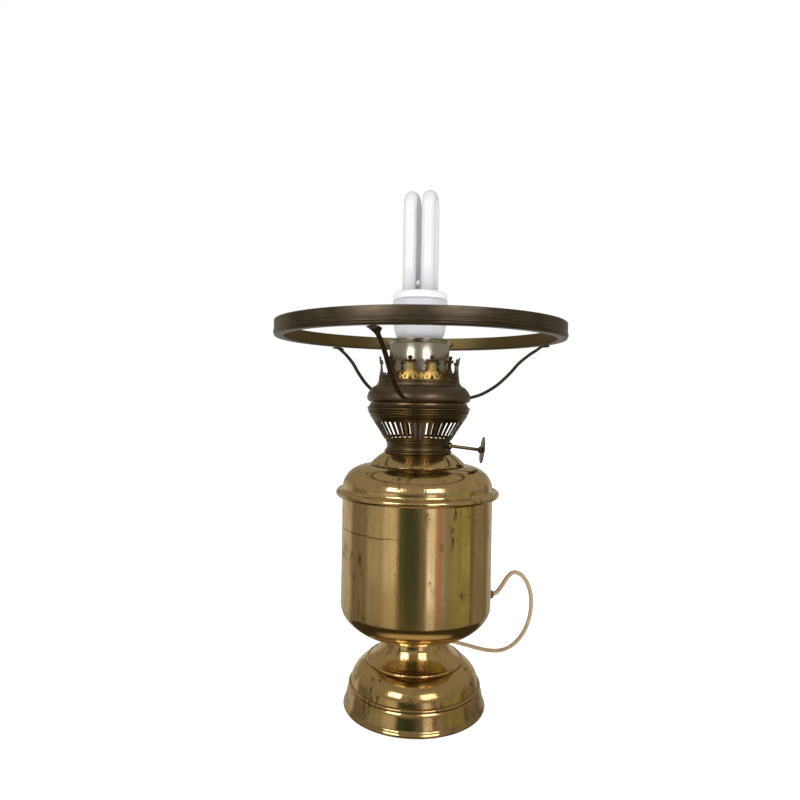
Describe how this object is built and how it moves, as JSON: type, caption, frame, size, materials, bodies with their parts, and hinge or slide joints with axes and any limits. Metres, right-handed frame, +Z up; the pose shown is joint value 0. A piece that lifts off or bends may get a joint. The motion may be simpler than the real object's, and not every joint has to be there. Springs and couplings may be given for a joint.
{
  "type": "table lamp",
  "caption": "Brass paraffin-pattern table lamp converted to electricity, with wick winder, shade ring on arms, compact bulb and a coiled flex.",
  "frame": {"origin": "on the table, under the lamp's upright axis, at the centre of the foot's underside", "axes": "+Z up along the lamp's axis, -Y the front, +X towards the wick winder"},
  "size_m": [0.2362, 0.3566, 0.4194],
  "materials": {
    "polished_brass": "polished, lightly scratched and spotted with tarnish",
    "aged_brass": "unpolished brass gone brown",
    "dark_bronze": "dark brown patina, satin",
    "gilt_brass": "bright brass",
    "nickel_plate": "satin nickel plate with a warm tinge",
    "plain_steel": "plain steel",
    "cast_weight": "rough casting",
    "felt": "felt",
    "white_housing": "white moulding",
    "bulb_glass": "white coated glass",
    "black_insulator": "vitrified black glass",
    "ceramic": "glazed ceramic",
    "beige_flex": "soft sheath, slightly waxy",
    "brown_plastic": "moulded, satin"
  },
  "bodies": {
    "root": {"foot": "polished_brass", "foot_felt": "felt", "foot_weight": "cast_weight", "tie_rod": "plain_steel", "rod_washer": "plain_steel", "rod_nut_lower": "plain_steel", "rod_nut_upper": "plain_steel", "font_bowl": "polished_brass", "font_cover": "polished_brass", "font_collar": "polished_brass", "cord_grommet": "brown_plastic", "burner_neck": "aged_brass", "burner_plate": "aged_brass", "burner_basket": "aged_brass", "basket_rim": "aged_brass", "spindle_bush": "aged_brass", "holder_nipple": "plain_steel", "nipple_nut_lower": "plain_steel", "nipple_nut_upper": "plain_steel", "seat_nut": "plain_steel", "sleeve_seat": "gilt_brass", "holder_sleeve": "nickel_plate", "holder_base": "ceramic", "holder_shell": "gilt_brass", "holder_contact": "gilt_brass", "inner_flex": "beige_flex", "cord": "beige_flex", "cord_coil": "beige_flex", "coil_tie": "beige_flex", "plug_body": "beige_flex", "plug_pin_left": "nickel_plate", "plug_pin_right": "nickel_plate"},
    "shade_holder": {"gallery_skirt": "dark_bronze", "gallery_crown": "dark_bronze", "shade_ring": "dark_bronze", "ring_splice": "dark_bronze", "shade_arm_front": "dark_bronze", "shade_arm_right": "dark_bronze", "shade_arm_rear": "dark_bronze"},
    "wick_winder": {"wick_spindle": "aged_brass", "wick_disc": "dark_bronze", "wick_hub": "aged_brass", "wick_sprocket": "aged_brass"},
    "bulb": {"bulb_contact": "plain_steel", "bulb_cap_insulator": "black_insulator", "bulb_cap": "plain_steel", "bulb_housing_lower": "white_housing", "bulb_housing_upper": "white_housing", "ballast_board": "brown_plastic", "bulb_tube_left": "bulb_glass", "bulb_tube_right": "bulb_glass", "bulb_bridge": "bulb_glass"}
  },
  "joints": [
    {"name": "wick_turn", "type": "hinge", "parent": "root", "child": "wick_winder", "pos_m": [0, 0, 0.21438], "axis": [0.9934, 0, -0.1149], "continuous": true},
    {"name": "bulb_lift", "type": "slide", "parent": "root", "child": "bulb", "axis": [0, 0, 1], "range_m": [0, 0.06]},
    {"name": "shade_holder_lift", "type": "slide", "parent": "root", "child": "shade_holder", "axis": [0, 0, 1], "range_m": [0, 0.175]}
  ]
}
